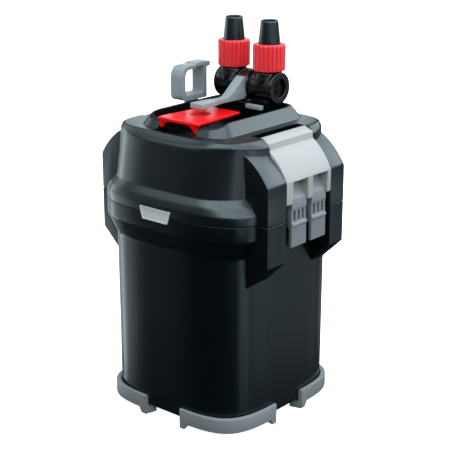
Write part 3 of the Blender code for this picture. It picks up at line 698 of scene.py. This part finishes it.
def saddle_height(x, y):
    """Top of the red saddle: flat, with a round dimple and a rolled front lip."""
    middle, radius, depth = DIMPLE
    start, length, drop = LIP
    dimple = depth * max(0.0, 1 - ((x / radius) ** 2 + ((y - middle) / radius) ** 2)) ** 1.5
    lip = drop * max(0.0, (start - y) / length) ** 2
    return SADDLE_TOP - dimple - lip


def saddle_sheet(columns, rows):
    """The saddle's plate: a top and a bottom grid, joined round the rim."""
    bm = bmesh.new()
    grid = {}
    for layer in (0, 1):
        for j in range(rows + 1):
            y = SADDLE_FRONT + SADDLE_LENGTH * j / rows
            half = SADDLE_HALF - max(0.0, SADDLE_TAPER * (y - TAPER_START) / TAPER_LENGTH)
            for i in range(columns + 1):
                x = -half + 2 * half * i / columns
                z = saddle_height(x, y) - SADDLE_THICK * layer
                grid[layer, i, j] = bm.verts.new((x * MM, y * MM, (z + LIFT) * MM))
    for layer in (0, 1):
        for j in range(rows):
            for i in range(columns):
                bm.faces.new((grid[layer, i, j], grid[layer, i + 1, j],
                              grid[layer, i + 1, j + 1], grid[layer, i, j + 1]))
    rim = [(i, 0) for i in range(columns)] + [(columns, j) for j in range(rows)]
    rim += [(i, rows) for i in range(columns, 0, -1)] + [(0, j) for j in range(rows, 0, -1)]
    for (i, j), (i2, j2) in zip(rim, rim[1:] + rim[:1]):
        bm.faces.new((grid[0, i, j], grid[0, i2, j2], grid[1, i2, j2], grid[1, i, j]))
    return new_object("saddle_plate", bm)


def saddle_plate():
    """Plate with a dimple, and an arch whose legs run down each side of the finger notch."""
    plate = saddle_sheet(48, 60)
    arch = [(-20.1, 254.8), (-20.1, 247.2), (-17.4, 247.2)]
    arch += bulged((-17.4, 247.2), (-9.0, 253.0), 1.4, 10) + [(-9.0, 253.0), (9.0, 253.0)]
    arch += bulged((9.0, 253.0), (17.4, 247.2), 1.4, 10)
    arch += [(17.4, 247.2), (20.1, 247.2), (20.1, 254.8)]
    skirt = [(-54.7, 254.8), (-54.7, 247.2), (-53.4, 247.2)]
    skirt += bulged((-53.4, 247.2), (-38.0, 254.8), 1.2, 10) + [(-38.0, 254.8)]
    carve(plate, "UNION", prism("arch", arch, "Y", -54.7, -51.4),
          prism("skirt", skirt, "X", -20.1, -17.9), prism("skirt", skirt, "X", 17.9, 20.1))
    remeshed(plate, voxel=0.45, rounds=4)
    finish_piece(plate, "head", "gloss_red", ["finger_saddle"], sharp=80.0)


def badge_plate():
    """Plain silver plate: a raised rim round a slightly sunk, empty field."""
    loops = []
    for grow, radius, y in ((0.0, 1.2, BODY_FRONT + 1.3), (0.0, 1.2, BODY_FRONT + 0.25),
                            (-0.25, 1.1, BODY_FRONT), (-1.0, 0.8, BODY_FRONT),
                            (-1.25, 0.7, BODY_FRONT + 0.3), (-1.5, 0.6, BODY_FRONT + 0.35)):
        loops.append([(x, y, z) for x, z in badge_outline(grow, radius)])
    finish_piece(skin("badge_plate", loops), "head", "silver_badge", ["badge"])


def gland():
    profile = ((2.6, 69.0), (4.4, 69.0), (4.4, 75.7), (6.3, 75.7), (6.6, 76.0), (6.6, 76.9),
               (6.3, 77.2), (5.2, 77.3), (4.9, 78.2), (4.4, 78.4), (4.4, 79.0), (4.1, 79.2),
               (3.9, 80.4), (2.6, 80.4))
    finish_piece(turned("cord_inlet", profile, GLAND, "Y", 48, hollow=True), "head", "rubber",
                 ["cord_gland"])


# ---------------------------------------------------------------- clamps

def clamp_section():
    """The clamp cover's outline of x and height, on the right side: outer face, then inner."""
    ridge, step, edge = (72.5, 242.7), (73.2, 237.0), (SHOULDER_OUT, 213.2)
    outer = [(64.0, 246.2), (65.0, 246.1), ridge, (72.9, 242.2), step]
    outer += bulged(step, edge, 2.0, 24) + [edge, (SHOULDER_OUT, 195.0)]
    inner = [(89.5, 195.0), (89.5, 212.2)] + bulged((89.5, 212.2), (70.6, 235.6), -1.6, 12)
    inner += [(70.6, 235.6), (69.8, 241.0), (64.0, 243.6)]
    return outer + inner


TONGUE_GAP = 0.3
WINDOWS = [(front - TONGUE_GAP, back + TONGUE_GAP) for front, back in TONGUE_SPANS]
TONGUE_BORE_RADIUS = 1.6


def clamp(label, side):
    """Clamp cover with a hinge barrel, three inner ribs and a window for each tongue."""
    hinge = (side * CLAMP_HINGE[0], CLAMP_HINGE[1])
    tongue_hinge = (side * TONGUE_HINGE[0], TONGUE_HINGE[1])
    cover = prism(f"clamp_cover_{label}", mirrored(clamp_section(), side), "Y", CLAMP_FRONT,
                  CLAMP_BACK)
    rib = [(91.0, 216.0), (91.0, 195.2), (87.6, 195.2), (80.6, 201.0), (80.6, 213.0),
           (84.0, 220.4)]
    edges = ((CLAMP_FRONT + 0.1, WINDOWS[0][0]), (WINDOWS[0][1], WINDOWS[1][0]),
             (WINDOWS[1][1], CLAMP_BACK - 0.1))
    ribs = [prism("rib", mirrored(rib, side), "Y", front, back) for front, back in edges]
    barrel = turned("barrel", ((3.3, CLAMP_FRONT + 0.05), (3.3, CLAMP_BACK - 0.05)), hinge,
                    "Y", 40)
    carve(cover, "UNION", barrel, *ribs)
    opening = [(79.0, 213.0), (79.0, 190.0), (99.0, 190.0), (99.0, 213.0)]
    tools = [prism("window", mirrored(opening, side), "Y", front, back) for front, back in WINDOWS]
    carve(cover, "DIFFERENCE", *tools)
    soften(cover, width=0.35, angle=32.0, segments=3)
    carve(cover, "DIFFERENCE",
          turned("bore", ((PIN_BORE_RADIUS, CLAMP_FRONT - 2.0),
                          (PIN_BORE_RADIUS, CLAMP_BACK + 2.0)), hinge, "Y", 28),
          turned("bore", ((TONGUE_BORE_RADIUS, WINDOWS[0][0] - 5.0),
                          (TONGUE_BORE_RADIUS, WINDOWS[1][1] + 3.2)), tongue_hinge, "Y", 20))
    finish_piece(cover, f"{label}_clamp_body", "clamp_grey", [f"{label}_clamp"], sharp=32.0)


SLOT_PITCH = 5.6
SLOT_HALF = 1.5


def tongue(label, place, side, span):
    """Finger tongue with a hollow ramp, three grip slots and a ridge under them."""
    section = [(88.6, 156.9), (90.9, 156.9), (91.3, 157.6), (91.3, 174.3), (92.1, 174.9),
               (92.3, 175.6), (92.2, 176.6), (91.4, 177.9), (90.8, 178.3), (90.8, 188.4),
               (91.4, 189.8), (90.9, 197.4), (90.1, 198.6)]
    section += bulged((90.2, 198.4), (82.2, 212.2), 1.1, 8)
    section += [(82.2, 212.2), (80.4, 212.2), (80.0, 207.0), (80.4, 199.5), (82.6, 197.2),
                (85.8, 193.0), (85.8, 175.6), (86.6, 173.6), (88.2, 172.6), (88.2, 157.4)]
    piece = prism(f"tongue_{label}_{place}", mirrored(section, side), "Y", *span)
    across = sorted((side * 83.0, side * 96.0))
    middle = sum(span) / 2
    slots = [block("slot", across, (middle + SLOT_PITCH * k - SLOT_HALF,
                                    middle + SLOT_PITCH * k + SLOT_HALF), (178.9, 187.7))
             for k in (-1, 0, 1)]
    carve(piece, "DIFFERENCE", *slots)
    soften(piece, width=0.3, angle=24.0, segments=2)
    carve(piece, "DIFFERENCE", turned("bore", ((TONGUE_BORE_RADIUS, span[0] - 1.0),
                                               (TONGUE_BORE_RADIUS, span[1] + 1.0)),
                                      (side * TONGUE_HINGE[0], TONGUE_HINGE[1]), "Y", 20))
    finish_piece(piece, f"{label}_{place}_tongue", "tongue_grey", [f"{label}_tongue_{place}"])


# ---------------------------------------------------------------- hose valve

def valve_fitting():
    """Two horizontal barrels on one base, moulded together with their ports and spigots."""
    section = [(-26.0, 241.6), (26.0, 241.6), (26.0, 262.0), (6.6, 262.0), (6.6, 257.2),
               (-6.6, 257.2), (-6.6, 262.0), (-26.0, 262.0)]
    fitting = prism("valve_fitting", section, "Y", VALVE_Y - 8.8, VALVE_Y + 8.8)
    centre = (VALVE_Y, BARREL_Z)
    barrel = ((12.3, 6.0), (12.9, 6.8), (12.9, 24.0), (13.3, 27.6), (13.7, 28.8), (13.7, 31.0),
              (13.2, 31.6))
    bore = ((9.2, 5.0), (9.2, 29.3), (8.1, 29.6), (8.1, 33.0))
    port = ((12.7, 270.0), (12.7, 276.0), (12.4, 279.0), (11.7, 282.0), (11.2, 284.6),
            (10.8, 285.0), (9.6, 286.0), (9.6, 297.2))
    spigot = ((8.1, 229.6), (8.4, 230.4), (8.4, 243.5))
    parts, bores = [], []
    for side in (1, -1):
        place = (side * PORT_X, VALVE_Y)
        parts.append(turned("barrel", [(r, side * x) for r, x in barrel], centre, "X", 72))
        parts.append(turned("port", port, place, "Z", 64))
        parts.append(turned("spigot", spigot, place, "Z", 48))
        bores.append(turned("bore", [(r, side * x) for r, x in bore], centre, "X", 64))
        bores.append(turned("way", ((5.6, 228.0), (5.6, 299.0)), place, "Z", 40))
    carve(fitting, "UNION", *parts)
    carve(fitting, "DIFFERENCE", *bores)
    remeshed(fitting, voxel=0.42, rounds=3)
    finish_piece(fitting, "valve", "valve_black", ["valve_body"], sharp=60.0)


def rotor(label, side):
    """Valve core seen in the barrel's end: sunk disc, raised cross bar with a driver slot."""
    profile = ((8.2, side * 5.5), (8.8, side * 6.1), (8.8, side * 28.9), (8.5, side * 29.2),
               (7.4, side * 29.2), (7.1, side * 28.0), (0.6, side * 28.0))
    core = turned(f"valve_core_{label}", profile, (VALVE_Y, BARREL_Z), "X", 56)
    bar = block("bar", sorted((side * 27.0, side * 29.0)), (VALVE_Y - 1.9, VALVE_Y + 1.9),
                (BARREL_Z - 7.2, BARREL_Z + 7.2))
    cross = block("cross", sorted((side * 27.0, side * 28.7)), (VALVE_Y - 7.2, VALVE_Y + 7.2),
                  (BARREL_Z - 1.0, BARREL_Z + 1.0))
    carve(core, "UNION", bar, cross)
    slot = block("slot", sorted((side * 28.1, side * 31.0)), (VALVE_Y - 0.7, VALVE_Y + 0.7),
                 (BARREL_Z - 6.2, BARREL_Z + 6.2))
    way = turned("way", ((5.2, 255.0), (5.2, 290.0)), (side * PORT_X, VALVE_Y), "Z", 32)
    carve(core, "DIFFERENCE", slot, way)
    finish_piece(core, "valve_lever", "valve_black", [f"valve_rotor_{label}"])


HUB_RADIUS = 13.4


def lever_arm():
    """The lever's arm, bent up to its hub, and the hub's disc between the two barrels."""
    end = arc((VALVE_Y, BARREL_Z), 13.8, 143.0, 214.0, 12)
    side_view = [(-33.0, 261.9), (-33.0, 266.2)]
    side_view += bent((-22.0, 266.2), (5.2, 265.5), (24.9, 280.6), 5.0, 10)
    side_view += [(24.9, 280.6)] + end + [(24.5, 261.8)]
    half = [(6.5, -33.0, 2.4), (6.5, -14.5, 4.0), (3.5, -5.5, 4.0), (3.8, 2.0, 2.0),
            (4.6, 13.0, 3.0), (4.6, 32.0, 0.0)]
    plan = eased_loop(half + [(-x, y, r) for x, y, r in reversed(half)], 5)
    arm = prism("lever_arm", side_view, "X", -8.0, 8.0)
    carve(arm, "INTERSECT", prism("plan", plan, "Z", 255.0, 290.0))
    soften(arm, width=0.45, angle=32.0, segments=3)
    finish_piece(arm, "valve_lever", "lever_grey", ["lever"])
    rim, waist = HUB_RADIUS, HUB_RADIUS - 0.7
    profile = ((4.6, -5.0), (rim - 1.0, -5.0), (rim, -4.2), (rim, -1.6), (waist, -1.2),
               (waist, 1.2), (rim, 1.6), (rim, 4.2), (rim - 1.0, 5.0), (4.6, 5.0))
    hub = turned("lever_hub_disc", profile, (VALVE_Y, BARREL_Z), "X", 64)
    finish_piece(hub, "valve_lever", "valve_black", ["lever_hub"])


RIBS = 22
RIB_POINTS = 16
GROOVE_HALF = 0.27                                   # share of one rib's step
GROOVE_SHAPE = 0.7
RIB_CROWN = 0.25


def ribbed(radius, angle, depth):
    """Radius of the nut's skirt: wide round ribs with a narrow groove between them."""
    off = abs((angle * RIBS / (2 * pi)) % 1.0 - 0.5)
    groove = depth * max(0.0, 1 - off / GROOVE_HALF) ** GROOVE_SHAPE
    return radius - groove - RIB_CROWN * (off - 0.5) ** 2


def lock_nut(label, side):
    """Ribbed nut from rows of radius, height and groove depth."""
    section = ((9.95, 286.4, 0.0), (13.3, 286.4, 0.3), (13.65, 286.7, 0.7), (13.85, 287.4, 1.1),
               (13.9, 289.2, 1.2), (13.9, 306.0, 1.2), (13.8, 307.4, 0.9), (13.45, 308.3, 0.25),
               (12.9, 308.8, 0.0), (11.9, 309.0, 0.0), (10.2, 309.0, 0.0), (9.9, 308.7, 0.0),
               (9.75, 307.8, 0.0), (9.75, 303.4, 0.0), (9.95, 303.4, 0.0))
    count = RIBS * RIB_POINTS
    turns = [2 * pi * i / count for i in range(count)]
    loops = []
    for radius, z, depth in section:
        reach = [ribbed(radius, a, depth) if depth else radius for a in turns]
        loops.append([(side * PORT_X + r * cos(a), VALVE_Y + r * sin(a), z)
                      for r, a in zip(reach, turns)])
    finish_piece(skin(f"ribbed_nut_{label}", loops, cyclic=True), f"{label}_nut", "nut_red",
                 [f"lock_nut_{label}"], sharp=42.0)


NIPPLE_SHADE_RADIUS = 6.3                                    # bore faces within this radius get painted shade


def nipple(label, side):
    """Tapered hose nipple with a thin-walled mouth; its bore is painted near-black as shade."""
    profile = ((5.6, 297.6), (9.2, 297.6), (9.5, 297.9), (9.5, 300.9), (9.3, 301.2),
               (9.15, 302.0), (9.1, 311.6), (9.0, 312.4), (7.42, 326.9), (7.25, 327.9),
               (7.0, 328.4), (6.7, 328.5), (6.4, 328.35), (6.25, 327.8), (6.1, 324.0),
               (5.6, 318.0))
    centre = (side * PORT_X, VALVE_Y)
    piece = turned(f"nipple_{label}", profile, centre, "Z", 96, hollow=True)
    finish_piece(piece, "valve", "slate_plastic", [f"hose_nipple_{label}"])
    # Painted shade: the bore's faces get the near-black inner_black material for the shade down
    # the hole.
    piece.data.materials.append(MATERIALS["inner_black"])
    for face in piece.data.polygons:
        across = Vector((face.center.x / MM - centre[0], face.center.y / MM - centre[1]))
        if across.length < NIPPLE_SHADE_RADIUS and across.dot(face.normal.xy) < 0:
            face.material_index = 1


def stop_bar():
    bar = block("stop_bar", (8.0, 25.0), (22.0, 26.0), (254.6, 258.4))
    soften(bar, width=0.5, angle=40.0, segments=3)
    finish_piece(bar, "valve", "lever_grey", ["valve_stop_bar"])


# ---------------------------------------------------------------- primer

def primer_loop():
    """Looped pull handle on its rod."""
    outer = eased_loop([(-4.5, 257.2, 7.0), (27.5, 257.2, 1.4), (27.5, 284.4, 1.6),
                        (31.9, 284.4, 0.6), (31.9, 288.6, 1.2), (15.6, 288.6, 0.6),
                        (14.4, 287.4, 0.6), (-4.5, 287.4, 12.0)], 8)
    inner = eased_loop([(-0.2, 261.8, 4.0), (23.6, 261.8, 1.8), (23.6, 285.6, 1.4),
                        (14.6, 285.6, 0.6), (13.2, 284.0, 0.6), (-0.2, 284.0, 8.0)], 8)
    left, right = side_of("primer_handle", 0, 0), side_of("primer_handle", 1, 0)
    handle = prism("primer_loop", outer, "X", left, right)
    carve(handle, "DIFFERENCE", prism("window", inner, "X", left - 5.0, right + 5.0))
    soften(handle, width=0.7, angle=50.0, segments=3)
    carve(handle, "UNION", turned("rod", ((3.0, 196.4), (3.0, 259.4)), PRIMER_ROD, "Z", 32))
    finish_piece(handle, "primer", "lever_grey", ["primer_handle"])


# ---------------------------------------------------------------- kept CAD nodes

WELD_GAP = 0.02
KEPT_EDGE = 0.4


def polish(obj, slot):
    """A CAD node that stays: its corners are welded and rounded, and it gets its material."""
    weld = obj.modifiers.new("weld", "WELD")
    weld.merge_threshold = WELD_GAP * MM
    bevel = obj.modifiers.new("edges", "BEVEL")
    bevel.width = KEPT_EDGE * MM
    bevel.segments = 2
    bevel.limit_method = "ANGLE"
    bevel.angle_limit = radians(40)
    obj.data.materials.clear()
    obj.data.materials.append(MATERIALS[slot])


def kept_nodes():
    slots = {row["node"]: row["material_slot"] for row in frame["record"]["subparts"]}
    for node, obj in frame["nodes"].items():
        if not obj.hide_render:
            polish(obj, slots[node])


# ---------------------------------------------------------------- stage

# Softboxes on a sphere round the filter: compass degrees from +X towards +Y, degrees above its
# middle, width and height in metres, and how bright each one looks.
SOFTBOXES = ((0, 90, 1.2, 1.2, 1.2), (-165, 55, 0.9, 0.9, 1.2), (-98, 56, 0.9, 0.9, 2.5),
             (-45, 58, 0.9, 0.9, 2.6), (10, 58, 0.9, 0.9, 2.6), (62, 55, 0.9, 0.9, 2.8),
             (110, 55, 0.9, 0.9, 0.4), (-130, 26, 0.6, 0.8, 1.2), (-101, 36, 0.8, 0.6, 2.6),
             (-71, 33, 0.8, 0.6, 3.2), (-38, 29, 0.9, 0.7, 3.0), (-6, 28, 0.9, 0.8, 2.6),
             (28, 26, 0.9, 0.8, 2.6), (60, 26, 0.9, 0.9, 3.2), (92, 24, 0.8, 0.9, 2.0),
             (131, 18, 0.5, 0.8, 1.5), (162, 22, 0.7, 0.9, 0.8), (190, 22, 0.8, 0.9, 1.4),
             (-26, -6, 0.7, 0.6, 0.95), (5, -14, 0.8, 1.1, 1.1), (35, -16, 0.8, 0.9, 0.6),
             (60, -17, 0.7, 0.8, 0.34), (92, -14, 0.8, 0.9, 0.3), (138, -14, 0.4, 0.9, 2.4),
             (160, -14, 0.5, 0.9, 1.2), (186, -12, 0.5, 1.2, 3.2), (-153, -12, 0.7, 1.2, 1.05))
SPHERE = 1.8                                         # the sphere's radius and middle, in metres
MIDDLE = Vector((0.0, 0.0, 0.2))
LIGHT_COLOUR = (0.91, 1.0, 1.05)


def softbox(degrees, rise, width, height, radiance):
    turn, up = radians(degrees), radians(rise)
    light = bpy.data.lights.new("softbox", "AREA")
    light.shape = "RECTANGLE"
    light.size, light.size_y = width, height
    light.energy = radiance * pi * width * height
    light.color = LIGHT_COLOUR
    obj = bpy.data.objects.new("softbox", light)
    away = Vector((cos(turn) * cos(up), sin(turn) * cos(up), sin(up)))
    obj.location = MIDDLE + away * SPHERE
    obj.rotation_euler = (-away).to_track_quat("-Z", "Y").to_euler()
    bpy.context.scene.collection.objects.link(obj)


def dim_world():
    """A faint even glow, so no side of the filter is quite black."""
    world = bpy.data.worlds.new("studio")
    world.use_nodes = True
    background = world.node_tree.nodes["Background"]
    background.inputs["Color"].default_value = (0.95, 1.0, 1.05, 1.0)
    background.inputs["Strength"].default_value = 0.02
    bpy.context.scene.world = world


FLOOR_REACH, FLOOR_CURVE, WALL_TOP = 5.0, 2.0, 9.0   # metres
FLOOR_LOOK = {"Base Color": (0.92, 0.92, 0.92, 1.0), "Roughness": 0.9, "Specular IOR Level": 0.1,
              "Emission Color": (1.0, 1.0, 1.0, 1.0), "Emission Strength": 0.97}


def white_floor():
    """A floor that curves up into a wall all round, so every view has a clean background."""
    rise = [radians(9 * k) for k in range(1, 11)]
    profile = [(FLOOR_REACH, 0.0)]
    profile += [(FLOOR_REACH + FLOOR_CURVE * sin(a), FLOOR_CURVE * (1 - cos(a))) for a in rise]
    profile += [(FLOOR_REACH + FLOOR_CURVE, WALL_TOP)]
    floor = turned("floor", [(r / MM, z / MM - LIFT) for r, z in profile], (0.0, 0.0), "Z", 64)
    material = bpy.data.materials.new("floor_white")
    material.use_nodes = True
    shader = material.node_tree.nodes["Principled BSDF"]
    for socket, value in FLOOR_LOOK.items():
        shader.inputs[socket].default_value = value
    floor.data.materials.append(material)
    floor.visible_diffuse = False
    floor.visible_glossy = False
    floor.visible_shadow = False


def stage():
    white_floor()
    dim_world()
    bpy.context.scene.view_settings.view_transform = "Standard"
    for row in SOFTBOXES:
        softbox(*row)


VIEW_AZIMUTH, VIEW_ELEVATION = radians(40.265), radians(17.72)
VIEW_DISTANCE = 1.0756                               # metres, like the next two
AIM_HEIGHT = 0.1534
AIM_RIGHT = 0.0032
LENS = 98.9                                          # millimetres, on a 36 mm sensor


def camera():
    turn, rise = VIEW_AZIMUTH, VIEW_ELEVATION
    target = Vector((cos(turn) * AIM_RIGHT, sin(turn) * AIM_RIGHT, AIM_HEIGHT + LIFT * MM))
    back = Vector((sin(turn) * cos(rise), -cos(turn) * cos(rise), sin(rise)))
    data = bpy.data.cameras.new("camera")
    data.sensor_width = 36.0
    data.lens = LENS
    data.clip_end = 50.0
    obj = bpy.data.objects.new("camera", data)
    obj.location = target + back * VIEW_DISTANCE
    obj.rotation_euler = (-back).to_track_quat("-Z", "Y").to_euler()
    bpy.context.scene.collection.objects.link(obj)
    bpy.context.scene.camera = obj


camera()
stage()
canister_wall()
for foot_name, quadrant in (("front_right", (1, -1)), ("front_left", (-1, -1)),
                            ("rear_right", (1, 1)), ("rear_left", (-1, 1))):
    foot(f"corner_{foot_name}", f"foot_{foot_name}", *quadrant)
head_cover()
saddle_plate()
badge_plate()
gland()
for hand, hand_side in (("right", 1), ("left", -1)):
    clamp(hand, hand_side)
    for tongue_place, tongue_span in zip(("front", "rear"), TONGUE_SPANS):
        tongue(hand, tongue_place, hand_side, tongue_span)
    rotor(hand, hand_side)
    lock_nut(hand, hand_side)
    nipple(hand, hand_side)
valve_fitting()
lever_arm()
stop_bar()
primer_loop()
kept_nodes()
